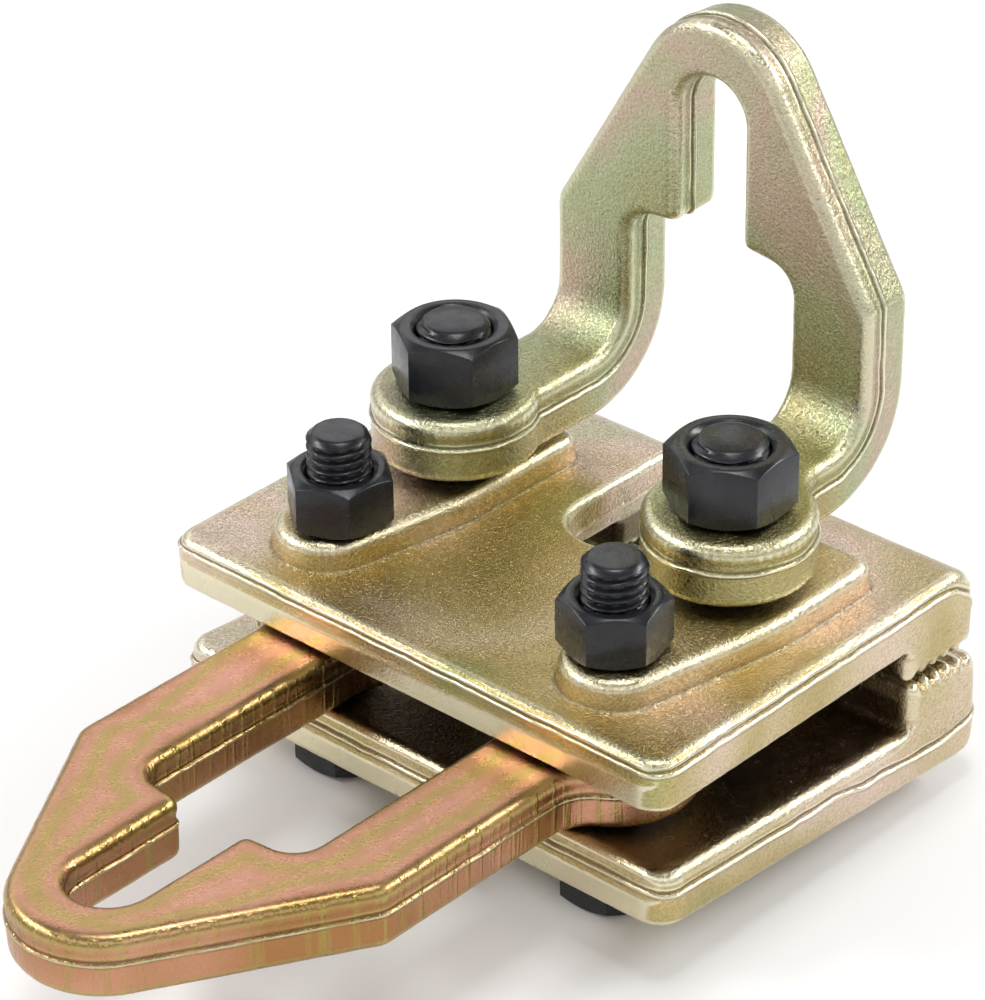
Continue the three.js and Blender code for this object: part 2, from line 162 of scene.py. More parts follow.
def surface(field, axes):
    """Closed quad mesh of field = 0: one vertex per crossed cell, then moved onto the surface."""
    shape = tuple(len(a) for a in axes)
    x, y, z = axes
    value = np.broadcast_to(field(x[:, None, None], y[None, :, None], z[None, None, :]), shape)
    inside = value < 0
    cells = tuple(n - 1 for n in shape)
    corners = {}
    count = np.zeros(cells, np.int8)
    for i in (0, 1):
        for j in (0, 1):
            for k in (0, 1):
                part = (slice(i, i + cells[0]), slice(j, j + cells[1]), slice(k, k + cells[2]))
                corners[i, j, k] = part
                count += inside[part]
    active = (count > 0) & (count < 8)
    index = np.full(cells, -1)
    where = np.argwhere(active)
    index[active] = np.arange(len(where))
    total, hits = np.zeros((len(where), 3)), np.zeros(len(where))
    for start, part in corners.items():
        va = value[part][active]
        for axis in range(3):
            if start[axis]:
                continue
            end = tuple(1 if n == axis else s for n, s in enumerate(start))
            vb = value[corners[end]][active]
            cross = (va < 0) != (vb < 0)
            t = np.where(cross, va / np.where(cross, va - vb, 1), 0)
            point = np.array(start, float) + t[:, None] * np.eye(3)[axis]
            total += point * cross[:, None]
            hits += cross
    at = where + total / hits[:, None]
    verts = np.stack([np.interp(at[:, k], np.arange(shape[k]), axes[k]) for k in range(3)], 1)
    quads = []
    for axis in range(3):
        b, c = (axis + 1) % 3, (axis + 2) % 3
        near = [slice(None)] * 3
        far = [slice(None)] * 3
        near[axis], far[axis] = slice(0, -1), slice(1, None)
        for other in (b, c):
            near[other] = far[other] = slice(1, -1)
        v0, v1 = inside[tuple(near)], inside[tuple(far)]
        ids = []
        for db, dc in ((0, 0), (1, 0), (1, 1), (0, 1)):
            part = [slice(None)] * 3
            part[b] = slice(db, db + shape[b] - 2)
            part[c] = slice(dc, dc + shape[c] - 2)
            ids.append(index[tuple(part)])
        ids = np.stack(ids, -1)
        quads.append(ids[v0 & ~v1])
        quads.append(ids[~v0 & v1][:, ::-1])
    for _ in range(4):
        f, g = field(*verts.T), gradient(field, verts)
        move = f[:, None] * g / np.maximum((g * g).sum(1), 1e-6)[:, None]
        size = np.linalg.norm(move, axis=1)
        verts = verts - move * np.minimum(1, 0.25 / np.maximum(size, 1e-9))[:, None]
    return verts, np.concatenate(quads)


def gradient(field, verts, h=0.04):
    out = []
    for axis in range(3):
        d = np.eye(3)[axis] * h
        out.append((field(*(verts + d).T) - field(*(verts - d).T)) / (2 * h))
    return np.stack(out, 1)


def curvature(field, verts, h=0.4):
    """Above 0 on ridges and rounded edges, below 0 in grooves; about 1 / radius in 1/mm."""
    total = -6 * field(*verts.T)
    for axis in range(3):
        d = np.eye(3)[axis] * h
        total += field(*(verts + d).T) + field(*(verts - d).T)
    return total / (h * h)


def make_object(name, verts, faces, marks=None):
    """Mesh object from points in millimetres. marks are numbers per point, which the materials read."""
    mesh = bpy.data.meshes.new(name)
    faces = faces.tolist() if isinstance(faces, np.ndarray) else faces
    mesh.from_pydata((verts + SHIFT) * MM, [], faces)
    mesh.validate()
    mesh.polygons.foreach_set("use_smooth", [True] * len(mesh.polygons))
    for key, values in (marks or {}).items():
        mesh.attributes.new(key, "FLOAT", "POINT").data.foreach_set("value", np.asarray(values, np.float32))
    mesh.update()
    obj = bpy.data.objects.new(name, mesh)
    bpy.context.scene.collection.objects.link(obj)
    return obj


def forged(verts, field, seed, rough=0.0):
    """Small lumps of a forged surface, and fine upright trimming marks on its sides. They only cut inwards.
    rough adds coarse lumps."""
    g = gradient(field, verts)
    n = g / np.maximum(np.linalg.norm(g, axis=1), 1e-6)[:, None]
    x, y, z = verts.T
    side = smooth_step(0.5, 0.9, np.hypot(n[:, 0], n[:, 1]))
    lump = 0.07 * noise(x, y, z, 9, seed) + 0.04 * noise(x, y, z, 3.1, seed + 1)
    marks = 0.05 * noise(x, y, z, (1.5, 1.5, 11), seed + 2) + 0.06 * noise(x, y, z, (3.7, 3.7, 9), seed + 3)
    coarse = 0.32 * noise(x, y, z, 2.3, seed + 5) + 0.2 * noise(x, y, z, 5.0, seed + 6)
    depth = np.abs(lump) + side * np.abs(marks) + rough * np.abs(coarse)
    return verts - n * depth[:, None]


# ---------------------------------------------------------------- jaws

def jaw_plan(u, y, length):
    """Distance to the jaw's rounded rectangle, seen from above."""
    qx = np.abs(u - length / 2) - (length / 2 - JAW_CORNER)
    qy = np.abs(y) - (JAW_WIDTH / 2 - JAW_CORNER)
    return np.hypot(np.maximum(qx, 0), np.maximum(qy, 0)) + np.minimum(np.maximum(qx, qy), 0) - JAW_CORNER


def jaw_profile(jaw):
    """Side profile with the lip hanging down: u along, height above the inside face."""
    lip = jaw["lip"]
    first, last = LIP_START + 1.6, jaw["length"] - jaw["lean"] - 2.8
    pitch = (last - first) / TEETH
    points = [(0, 0)] + arc(LIP_START - 1.4, -1.4, 1.4, math.pi / 2, 0, 5).tolist()
    points += arc(LIP_START + 1.6, 1.6 - lip, 1.6, math.pi, 1.5 * math.pi, 5)[:-1].tolist()
    for i in range(TEETH):
        at = first + i * pitch
        points += [(at, -lip), (at + 0.35 * pitch, -lip), (at + 0.62 * pitch, -lip + TOOTH_DEPTH)]
    points += [(last, -lip + 0.2), (last + 1.2, -lip + 0.55)]
    points += [(last + 2.2, -lip + 1.4), (last + 2.8, -lip + 3)]
    nose = arc(jaw["length"] - jaw["nose"], jaw["thickness"] - jaw["nose"], jaw["nose"], 0, math.pi / 2, 16)
    return np.array(points + nose.tolist() + [(0, jaw["thickness"])])


def pad_outline():
    """Plan of a pad, bolts on the line v = 0 and the side towards the jaw's edge upwards."""
    end, corner, inner, outer = BIG_U + 21.9, 4.2, -13.0, 17.6
    start = math.pi / 2 + 0.24
    parts = [arc(SMALL_U - 1.7, 1.7, 10.5, start, TAU - start, 22),
             [(BIG_U - 14.5, inner + 0.55), (BIG_U - 12, inner + 0.12), (BIG_U - 9, inner)],
             arc(end - corner, inner + corner, corner, -math.pi / 2, 0, 6),
             arc(end - corner, outer - corner, corner, 0, math.pi / 2, 6),
             [(BIG_U - 3, outer), (BIG_U - 7, outer - 0.3), (BIG_U - 14, outer - 1.4)]]
    return np.concatenate(parts)


PAD = pad_outline()


def slot_distance(u, y):
    """Distance to the U-slot that is open at the gripping edge."""
    return np.where(u < SLOT_END, np.hypot(u - SLOT_END, y), np.abs(y)) - SLOT_R


def flash_line(away, along, seed):
    """What the trimmed flash adds to a side: an uneven ridge, with a fainter one beside it."""
    ragged = 0.6 + 0.35 * line_noise(along, 2.1, seed) + 0.3 * line_noise(along, 7, seed)
    first = np.exp(-(away / 0.3) ** 2) * np.clip(ragged, 0.12, 1)
    beside = 1.15 + 0.4 * line_noise(along, 6, seed + 1)
    faint = np.clip(0.08 + 0.12 * line_noise(along, 11, seed + 2), 0, 0.2)
    groove = 0.16 * np.exp(-((away - 0.62) / 0.3) ** 2)
    return FLASH_HEIGHT * first - groove + faint * np.exp(-((away - beside) / 0.3) ** 2)


def jaw_field(jaw, parting_u, parting_z, inset_side, holes):
    """Field of a jaw drawn with its outside face up. The flash line runs along its sides at the heights
    parting_z; the side above it (inset_side 1) or below it (-1) is set back a little."""
    profile = jaw_profile(jaw)
    length, thickness = jaw["length"], jaw["thickness"]

    def field(u, y, z):
        plan = jaw_plan(u, y, length)
        along = u + np.abs(y) * 1.03
        wave = 0.24 * line_noise(along, 8, 3) + 0.13 * line_noise(along, 2.6, 4)
        line = np.interp(u, parting_u, parting_z)
        slope = np.interp(u + 1, parting_u, parting_z) - np.interp(u - 1, parting_u, parting_z)
        away = (z - line - wave) / np.hypot(1, slope / 2)
        inset = 0.4 * smooth_step(0.1, 0.9, away * inset_side)
        side = plan + FLASH_HEIGHT + inset + np.abs(away) * 0.035 - flash_line(away * inset_side, along, 5)
        body = polygon_distance(profile, u, z)
        dish = 0.3 * smooth_step(2.5, 9, -plan) * smooth_step(thickness * 0.5, thickness * 0.8, z)
        body = body + dish
        outside = smooth_step(-0.5, 1.2, z - thickness / 2)
        rolled = outside if inset_side > 0 else (1 - outside) * (1 - smooth_step(LIP_START - 4, LIP_START, u))
        lip = smooth_step(0.5, 2.5, -z)
        d = round_max(side, body, 0.7 + 1.5 * np.maximum(rolled, lip))
        pad = polygon_distance(PAD, u, np.abs(y) - BOLT_Y) + np.maximum(z - thickness, -2) * 0.1
        pad = round_max(pad, z - thickness - jaw["pad"], PAD_ROUND)
        pad = np.maximum(pad, thickness - 4 - z)
        d = smooth_min(d, pad, 0.5)
        middle = thickness * 0.4
        wall = slot_distance(u, y) - 0.07 * np.abs(z - middle) + 0.3 * np.exp(-((z - middle) / 0.4) ** 2)
        d = round_max(d, -wall, 1.7)
        for x0, x1, r in holes:
            reach = np.hypot(u - np.clip(u, x0, x1), np.abs(y) - BOLT_Y)
            d = np.maximum(d, r - reach)
        return d

    return field


# Where the flash line runs: heights above the inside face, at distances from the front edge. They are mostly
# from points along it in the photograph, turned into millimetres with the fitted camera below.
UPPER_LINE_U = (0, 78.6, 81.9, 84.2, 87.5, 89.2, 91.4, 93)
UPPER_LINE_Z = (7.5, 7.5, 7.1, 6.5, 4.55, 3.1, -0.2, -1.6)
LOWER_LINE_U = (0, 40, 48.7, 56.7, 63.8, 71.8, 79.8, 87.8, 91.4, 94)
LOWER_LINE_Z = (4.2, 3.9, 3.7, 4.9, 5.0, 5.35, 5.2, 4.05, 3.3, 2.6)

# Each hole is (from u, to u, radius). The lower jaw's are slotted, because it tilts as it opens.
upper_field = jaw_field(UPPER, UPPER_LINE_U, UPPER_LINE_Z, 1,
                        ((SMALL_U, SMALL_U, SMALL_HOLE), (BIG_U, BIG_U, BIG_HOLE)))
lower_field = jaw_field(LOWER, LOWER_LINE_U, LOWER_LINE_Z, -1,
                        ((SMALL_U - 2.1, SMALL_U + 0.4, SMALL_HOLE), (BIG_U - 2, BIG_U + 0.7, BIG_HOLE)))


def shade_into_gap(verts):
    """Painted shade: 1 on the faces that look into the gap between the jaws, 0 elsewhere."""
    u, y, z = verts.T
    amount = smooth_step(1.0, 0.2, z) * smooth_step(1.2, 3.5, u)
    return amount * smooth_step(57.5, 55, np.abs(y)) * smooth_step(-6.5, -5, z)


ACROSS = graded(-61.2, (61.2, 0.9))
verts, quads = surface(upper_field, (graded(-1.2, (2.4, 0.5), (84, 0.9), (94.2, 0.5)), ACROSS,
                                     graded(-9, (-3, 0.45), (5.5, 0.5), (11, 0.22), (16.3, 0.4))))
# The gap mark tells the plating where to paint shade between the jaws.
marks = {"curve": curvature(upper_field, verts), "gap_shade": shade_into_gap(verts)}
verts = forged(verts, upper_field, 1, smooth_step(4.5, 6.5, -verts[:, 2]))
upper_jaw = make_object("forged_upper_jaw", verts + [FRONT_X, 0, 0], quads, marks)


def lower_to_world(p):
    """From the jaw as drawn (outside up) to where the lower jaw hangs, outside down and leaning."""
    u, y, w = p[:, 0], -p[:, 1], -p[:, 2]
    c, s = math.cos(LOWER_TILT), math.sin(LOWER_TILT)
    return np.stack([LOWER_X + u * c + w * s, y, LOWER_Z - u * s + w * c], 1)


def seated_lower_field(u, y, z):
    """The lower jaw with the large bolts' spot faces, which are cut level."""
    d = lower_field(u, y, z)
    c, s = math.cos(LOWER_TILT), math.sin(LOWER_TILT)
    x, height = LOWER_X + u * c - z * s, LOWER_Z - u * s - z * c
    around = np.hypot(x - BIG_X + 0.6, np.abs(y) - BOLT_Y) - SPOT_FACE_R
    cut = np.maximum(around, height - (HEAD_Z + BIG["head"] + GAP))
    return np.maximum(d, -cut)


verts, quads = surface(seated_lower_field, (graded(-1.2, (2.4, 0.5), (84, 0.9), (95.2, 0.5)), ACROSS,
                                            graded(-11, (-3, 0.45), (1.5, 0.5), (6.8, 0.22), (17, 0.5))))
# The painted shade leaves out the corner beyond the ring's left arm, which isn't under it and stays pale. It
# is at negative y here, because the lower jaw is drawn upside down.
gap_shade = shade_into_gap(verts) * smooth_step(-46, -38, verts[:, 1])
marks = {"curve": curvature(seated_lower_field, verts), "gap_shade": gap_shade}
verts = forged(verts, seated_lower_field, 4, smooth_step(6.5, 8.5, -verts[:, 2]))
lower_jaw = make_object("forged_lower_jaw", lower_to_world(verts), quads, marks)


# ---------------------------------------------------------------- pull rings

def ring_outline():
    """A ring seen from above, with its eyes around s = 0 and its nose at the far end."""
    reach = math.hypot(NOSE_S - SHOULDER_S, ARM_OUT)
    lean = math.atan2(ARM_OUT, NOSE_S - SHOULDER_S) - math.asin(NOSE_RING_R / reach)
    fillet = 7.0
    fy = ARM_OUT + fillet
    fs = math.sqrt((EYE_R + fillet) ** 2 - (fy - BOLT_Y) ** 2)
    turn = math.atan2(fy - BOLT_Y, fs)
    inner = math.asin((ARM_IN - BOLT_Y) / EYE_R)
    parts = [arc(NOSE_S, 0, NOSE_RING_R, 0, math.pi / 2 - lean, 14),
             [(SHOULDER_S + 1.6, ARM_OUT - 0.72), (SHOULDER_S + 0.5, ARM_OUT - 0.2),
              (SHOULDER_S - 0.7, ARM_OUT - 0.04), (SHOULDER_S - 2.0, ARM_OUT)],
             arc(fs, fy, fillet, -math.pi / 2, -math.pi + turn, 8),
             arc(0, BOLT_Y, EYE_R, turn + 0.1, TAU + inner, 44),
             arc(STEP_S - 6.2, ARM_IN - 5, 5, math.pi / 2, 0.15, 10),
             arc(STEP_S + 2, RING_SLOT + 2.8, 2.8, -math.pi * 0.95, -math.pi / 2, 7),
             arc(RING_SLOT_END, 0, RING_SLOT, math.pi / 2, 0, 12)]
    half = np.concatenate(parts)
    return np.concatenate([half, (half[1:-1] * [1, -1])[::-1]])


RING = ring_outline()


def ring_field(hole):
    """Field of a ring lying flat. Its flash line runs a little above the middle, and the side above the line
    has a shallow groove."""
    def field(s, y, t):
        along = s * 1.07 + y
        wave = 0.16 * line_noise(along, 9, 6) + 0.08 * line_noise(along, 3, 7)
        away = t - (0.9 + wave)
        groove = 0.34 * np.exp(-((away - 1.5) / 0.9) ** 2)
        side = polygon_distance(RING, s, y) + FLASH_HEIGHT + groove + 0.03 * np.abs(away)
        side = side - flash_line(away, along, 9)
        d = round_max(side, np.abs(t) - RING_T / 2, RING_ROUND)
        return np.maximum(d, hole - np.hypot(s, np.abs(y) - BOLT_Y))

    return field


def ring_piece(name, hole, seed, stand):
    """stand takes the flat ring's points to where the ring is."""
    field = ring_field(hole)
    fine = graded(-7, (-2.2, 0.5), (2.2, 0.22), (7, 0.5))
    verts, quads = surface(field, (graded(-18, (111, 0.8)), graded(-51, (51, 0.8)), fine))
    marks = {"curve": curvature(field, verts), "rim": -polygon_distance(RING, verts[:, 0], verts[:, 1])}
    return make_object(name, stand(forged(verts, field, seed)), quads, marks)


def bend(p, start):
    """Turns the flat ring up by a quarter turn, beginning at s = start.
    The points returned count from there."""
    s, y, t = p[:, 0] - start, p[:, 1], p[:, 2]
    angle = np.clip(s / BEND_LENGTH, 0, 1) * math.pi / 2
    before, after = np.minimum(s, 0), np.maximum(s - BEND_LENGTH, 0)
    r = BEND_R - t
    x = r * np.sin(angle) + before * np.cos(angle) + after * np.cos(angle)
    z = BEND_R - r * np.cos(angle) + after * np.sin(angle)
    return np.stack([x, y, z], 1)


flat_ring = ring_piece("forged_flat_ring", FLAT_RING_HOLE, 11,
                       lambda p: p * [-1, -1, 1] + [SMALL_X, 0, FLAT_TOP_Z - RING_T / 2])
upright_ring = ring_piece("forged_upright_ring", BIG_HOLE, 17,
                          lambda p: bend(p, BEND_X - BIG_X) + [BEND_X, 0, EYE_Z + RING_T / 2])


# ---------------------------------------------------------------- hardware

SIDES = 120
SHARP_ANGLE = math.radians(38)


def hex_radius(flats):
    """Radius of a hexagon in each of the SIDES directions."""
    a = np.arange(SIDES) * TAU / SIDES
    a = (a + TAU / 12) % (TAU / 6) - TAU / 12
    return flats / 2 / np.cos(a)


def polar_mesh(rings, closed):
    """Rings of SIDES points, as (radius, height) numbers or arrays. closed joins the last ring to the first;
    otherwise each end is shut with a pole."""
    a = np.arange(SIDES) * TAU / SIDES
    verts, faces = [], []
    for r, z in rings:
        r, z = np.broadcast_to(r, (SIDES,)), np.broadcast_to(z, (SIDES,))
        verts.append(np.stack([r * np.cos(a), r * np.sin(a), z], 1))
    verts = np.concatenate(verts)
    n = len(rings)
    i = np.arange(SIDES)
    j = (i + 1) % SIDES
    for k in range(n if closed else n - 1):
        lo, hi = k * SIDES, ((k + 1) % n) * SIDES
        faces += np.stack([lo + i, lo + j, hi + j, hi + i], 1).tolist()
    if not closed:
        for ring, z, flip in ((0, rings[0][1], True), (n - 1, rings[-1][1], False)):
            pole = len(verts)
            verts = np.concatenate([verts, [[0, 0, np.mean(z)]]])
            for a0, b0 in zip(ring * SIDES + i, ring * SIDES + j):
                faces.append([int(b0), int(a0), pole] if flip else [int(a0), int(b0), pole])
    return verts, faces


def hex_rings(flats, low, high, turn_high):
    """Outer rings of a hexagon from its low face up to its high face, with eased edges. The low face has
    turned corners, and with turn_high so has the high one."""
    r = hex_radius(flats)
    face = flats / 2 - 0.45
    ease = 0.22
    drop = np.maximum(r - face, 0) * math.tan(math.pi / 6)
    rings = [(face - ease, low), (face - ease * 0.3, low + 0.05), (face + 0.1, low + 0.12),
             (r - ease, low + drop - 0.02), (r - ease * 0.25, low + drop + ease * 0.4),
             (r, low + drop + ease)]
    if turn_high:
        rings += [(r, high - drop - ease), (r - ease * 0.25, high - drop - ease * 0.4),
                  (r - ease, high - drop + 0.02), (face + 0.1, high - 0.12),
                  (face - ease * 0.3, high - 0.05), (face - ease, high)]
    else:
        rings += [(r, high - ease), (r - ease * 0.3, high - ease * 0.3), (r - ease, high)]
    return rings


def nut_mesh(size):
    height = size["nut"]
    bore, mouth = size["radius"] + GAP, size["radius"] + 1.1
    rings = hex_rings(size["flats"], 0, height, True)
    rings += [(mouth + 0.15, height), (mouth, height - 0.08), (bore, height - 1.0)]
    rings += [(bore, 1.0), (mouth, 0.08), (mouth + 0.15, 0)]
    return polar_mesh(rings, True)


def bolt_mesh(size, length, dome):
    """A hex bolt standing on its head, with a helical thread from thread_from up to its domed end."""
    flats, head, radius = size["flats"], size["head"], size["radius"]
    pitch, thread_from = size["pitch"], size["thread_from"]
    a = np.arange(SIDES) / SIDES
    rings = [(0.5, 0.25), (flats / 2 - 3.2, 0.25), (flats / 2 - 2.6, 0.0)]
    rings += hex_rings(flats, 0, head, False)
    rings += [(radius + 0.5, head), (radius, head + 0.4), (radius, thread_from - 0.6)]
    depth = 0.56 * pitch
    steps = int((length - 0.7 - thread_from) / (pitch / 12))
    for z in np.linspace(thread_from, length - 0.7, steps):
        phase = (z / pitch - a) % 1
        height = np.clip(np.abs(phase - 0.5) * 2 * 1.25 - 0.1, 0, 1)
        height = height * height * (3 - 2 * height)
        fade = np.clip((z - thread_from) / pitch, 0, 1)
        taper = np.clip((z - (length - 1.3)) / 0.6, 0, 1)
        r = radius - depth * (1 - height) * fade
        rings.append((np.minimum(r, radius - taper * 0.55 * depth), z))
    end = radius - depth
    rings += [(end, length - 0.35), (end - 0.35, length - 0.08), (end - 0.8, length)]
    rings += [(end - 1.8, length + dome * 0.5), (end * 0.45, length + dome), (0.4, length + dome)]
    return polar_mesh(rings, False)


def place(name, mesh, x, y, z, turn):
    """Object of a turned mesh, with its axis at x, y and its low end at z."""
    verts, faces = mesh
    c, s = math.cos(turn), math.sin(turn)
    rot = np.array([[c, s, 0], [-s, c, 0], [0, 0, 1]])
    obj = make_object(name, verts @ rot + [x, y, z], faces)
    mark_sharp(obj, SHARP_ANGLE)
    return obj


def mark_sharp(obj, angle):
    """Marks the edges whose faces meet at more than angle, so that smooth shading stops there."""
    bm = bmesh.new()
    bm.from_mesh(obj.data)
    for e in bm.edges:
        if len(e.link_faces) == 2 and e.calc_face_angle() > angle:
            e.smooth = False
    bm.to_mesh(obj.data)
    bm.free()


hardware = {}
# How far each small bolt, small nut and large nut is turned, in radians. A large bolt is turned like its nut.
TURNS = {"left": (0.0, 0.402, 0.493), "right": (0.06, 0.737, 0.563)}
small_length = SEAT_Z + SMALL["nut"] + SMALL["stand"] - HEAD_Z
big_length = BIG_NUT_Z + BIG["nut"] + BIG["stand"] - HEAD_Z
spacer_rings = [(SPACER_R - 0.25, 0), (SPACER_R, 0.2), (SPACER_R, SPACER_H - 0.2),
                (SPACER_R - 0.25, SPACER_H),
                (BIG_HOLE + 0.2, SPACER_H), (BIG_HOLE, SPACER_H - 0.2), (BIG_HOLE, 0.2), (BIG_HOLE + 0.2, 0)]
for side, y in (("left", BOLT_Y), ("right", -BOLT_Y)):
    head_turn, small_turn, big_turn = TURNS[side]
    for node, name, mesh, x, z, turn in (
            ("small_bolt_", "m12_bolt_", bolt_mesh(SMALL, small_length, 0.0), SMALL_X, HEAD_Z, head_turn),
            ("small_nut_", "m12_nut_", nut_mesh(SMALL), SMALL_X, SEAT_Z, small_turn),
            ("big_bolt_", "m14_bolt_", bolt_mesh(BIG, big_length - BIG_BOLT_DOME, BIG_BOLT_DOME),
             BIG_X, HEAD_Z, big_turn),
            ("big_nut_", "m14_nut_", nut_mesh(BIG), BIG_X, BIG_NUT_Z, big_turn),
            ("spacer_", "spacer_ring_", polar_mesh(spacer_rings, True), BIG_X, SEAT_Z, 0)):
        hardware[node + side] = place(name + side, mesh, x, y, z, turn)


# ---------------------------------------------------------------- materials

class Nodes:
    """A material, and short calls that add nodes to it."""

    def __init__(self, name):
        self.material = bpy.data.materials.new(name)
        self.material.use_nodes = True
        self.tree = self.material.node_tree
        self.shader = self.tree.nodes["Principled BSDF"]
        self.coords = self.add("ShaderNodeTexCoord").outputs["Object"]

    def add(self, kind, **props):
        node = self.tree.nodes.new(kind)
        for key, value in props.items():
            setattr(node, key, value)
        return node

    def link(self, a, b):
        self.tree.links.new(a, b)

    def noise(self, scale, detail, rough, stretch=(1, 1, 1), distortion=0.0):
        mapping = self.add("ShaderNodeMapping")
        mapping.inputs["Scale"].default_value = stretch
        self.link(self.coords, mapping.inputs["Vector"])
        tex = self.add("ShaderNodeTexNoise")
        self.link(mapping.outputs["Vector"], tex.inputs["Vector"])
        tex.inputs["Scale"].default_value = scale
        tex.inputs["Detail"].default_value = detail
        tex.inputs["Roughness"].default_value = rough
        tex.inputs["Distortion"].default_value = distortion
        return tex.outputs["Fac"]

    def mark(self, name):
        return self.add("ShaderNodeAttribute", attribute_name=name).outputs["Fac"]

    def ramp(self, factor, stops):
        node = self.add("ShaderNodeValToRGB")
        ramp = node.color_ramp
        while len(ramp.elements) < len(stops):
            ramp.elements.new(0.5)
        for element, (at, color) in zip(ramp.elements, stops):
            element.position = at
            element.color = (*color, 1)
        self.link(factor, node.inputs["Fac"])
        return node.outputs["Color"]

    def span(self, factor, low, high, to_low, to_high):
        node = self.add("ShaderNodeMapRange")
        self.link(factor, node.inputs["Value"])
        for key, value in (("From Min", low), ("From Max", high), ("To Min", to_low), ("To Max", to_high)):
            node.inputs[key].default_value = value
        return node.outputs["Result"]

    def math(self, operation, a, b):
        node = self.add("ShaderNodeMath", operation=operation)
        for socket, value in zip(node.inputs, (a, b)):
            if isinstance(value, (int, float)):
                socket.default_value = value
            else:
                self.link(value, socket)
        return node.outputs["Value"]

    def mix(self, factor, a, b):
        node = self.add("ShaderNodeMix", data_type="RGBA")
        for socket, value in ((node.inputs["Factor"], factor), (node.inputs["A"], a), (node.inputs["B"], b)):
            if isinstance(value, (int, float)):
                socket.default_value = value
            elif isinstance(value, tuple):
                socket.default_value = (*value, 1)
            else:
                self.link(value, socket)
        return node.outputs["Result"]

    def bump(self, height, strength, distance, normal=None, varied=None):
        node = self.add("ShaderNodeBump")
        node.inputs["Strength"].default_value = strength
        node.inputs["Distance"].default_value = distance
        if varied is not None:
            self.link(varied, node.inputs["Strength"])
        self.link(height, node.inputs["Height"])
        if normal is not None:
            self.link(normal, node.inputs["Normal"])
        return node.outputs["Normal"]


def plating(name, tints, edge, rough, patch, grain, banded=False):
    """Yellow zinc over a forged skin: slow drifts between its tints, fine grain that glitters, a tint of its
    own on rounded edges, pale on the jaws and upright ring, where it is a painted highlight, a near-white
    painted highlight on the tightest edges, painted shade as dark lines in grooves, and painted shade on the
    faces that look into the gap between the jaws. banded lets the tints follow the outline and adds trimming
    strokes, as on the flat ring."""
    n = Nodes(name)
    slow = n.noise(patch, 1.5, 0.5, distortion=0.8)
    if banded:
        slow = n.math("ADD", n.math("MULTIPLY", slow, 0.7), n.span(n.mark("rim"), 0, 12, 0.0, 0.62))
    else:
        split = n.add("ShaderNodeSeparateXYZ")
        n.link(n.coords, split.inputs["Vector"])
        slow = n.math("ADD", n.math("MULTIPLY", slow, 0.6), 0.2)
        slow = n.math("ADD", slow, n.span(split.outputs["X"], 0.0, 0.09, -0.02, 0.07))
        slow = n.math("ADD", slow, n.span(split.outputs["Y"], -0.06, 0.0, -0.07, 0.0))
    color = n.ramp(slow, tints)
    if banded:
        # Trimming strokes, on the side walls only.
        strokes = n.span(n.noise(620, 2, 0.6, stretch=(1, 1, 0.05)), 0.5, 0.72, 0.0, 1.0)
        strokes = n.math("MULTIPLY", strokes, n.span(n.mark("rim"), 0.95, 1.5, 1.0, 0.0))
        color = n.mix(n.math("MULTIPLY", strokes, 0.8), color, (0.36, 0.29, 0.08))
    fine = n.noise(2100, 3, 0.75)
    color = n.mix(n.span(fine, 0.44, 0.68, 0.0, 0.05 + 0.5 * grain), color, (0.17, 0.13, 0.06))
    curve = n.mark("curve")
    # Rounded edges take the edge tint: on the jaws and upright ring a pale one, which is a painted highlight;
    # on the flat ring an olive one.
    color = n.mix(n.span(curve, 0.25, 0.6, 0.0, 0.75), color, edge)
    # Painted highlight: near-white on the tightest rounded edges.
    color = n.mix(n.span(curve, 1.2, 3.0, 0.0, 0.4), color, (0.86, 0.84, 0.70))
    # Painted shade: dark brown lines in grooves, the flash line's among them.
    color = n.mix(n.span(curve, -0.4, -2.2, 0.0, 0.7), color, (0.09, 0.075, 0.035))
    # Painted shade: faces marked as looking into the gap between the jaws turn dark brown.
    color = n.mix(n.math("MULTIPLY", n.mark("gap_shade"), 0.8), color, (0.13, 0.085, 0.035))
    n.link(color, n.shader.inputs["Base Color"])
    n.shader.inputs["Metallic"].default_value = 1.0
    n.link(n.span(n.noise(260, 5, 0.65), 0.3, 0.7, rough[0], rough[1]), n.shader.inputs["Roughness"])
    normal = n.bump(n.noise(240, 3, 0.5), 0.35 * grain, 0.0002)
    glitter = n.noise(1700, 3, 0.7, distortion=0.5)
    normal = n.bump(glitter, grain, 0.0003, normal, n.span(curve, 0.2, 0.6, grain, 0.4 * grain))
    if banded:
        normal = n.bump(strokes, 0.55, 0.0003, normal)
    n.link(normal, n.shader.inputs["Normal"])
    return n.material


JAW_TINTS = ((0.36, (0.40, 0.39, 0.16)), (0.44, (0.55, 0.43, 0.19)), (0.51, (0.66, 0.54, 0.32)),
             (0.58, (0.84, 0.66, 0.54)), (0.68, (0.62, 0.62, 0.42)))
FLAT_TINTS = ((0.30, (0.37, 0.18, 0.07)), (0.47, (0.60, 0.30, 0.20)), (0.60, (0.47, 0.34, 0.12)),
              (0.70, (0.58, 0.31, 0.18)), (0.85, (0.68, 0.34, 0.26)))
UPRIGHT_TINTS = ((0.36, (0.38, 0.32, 0.12)), (0.44, (0.46, 0.43, 0.22)), (0.52, (0.44, 0.48, 0.28)),
                 (0.60, (0.56, 0.44, 0.34)), (0.68, (0.44, 0.49, 0.27)))

# After the tints comes the tint of rounded edges; the pale ones of the jaws and upright ring are a painted
# highlight.
jaw_metal = plating("jaw_plating", JAW_TINTS, (0.74, 0.70, 0.52), (0.15, 0.30), 24, 0.8)
flat_metal = plating("flat_ring_plating", FLAT_TINTS, (0.40, 0.34, 0.11), (0.22, 0.36), 22, 0.3, True)
upright_metal = plating("upright_ring_plating", UPRIGHT_TINTS, (0.72, 0.70, 0.50), (0.15, 0.30), 22, 0.8)


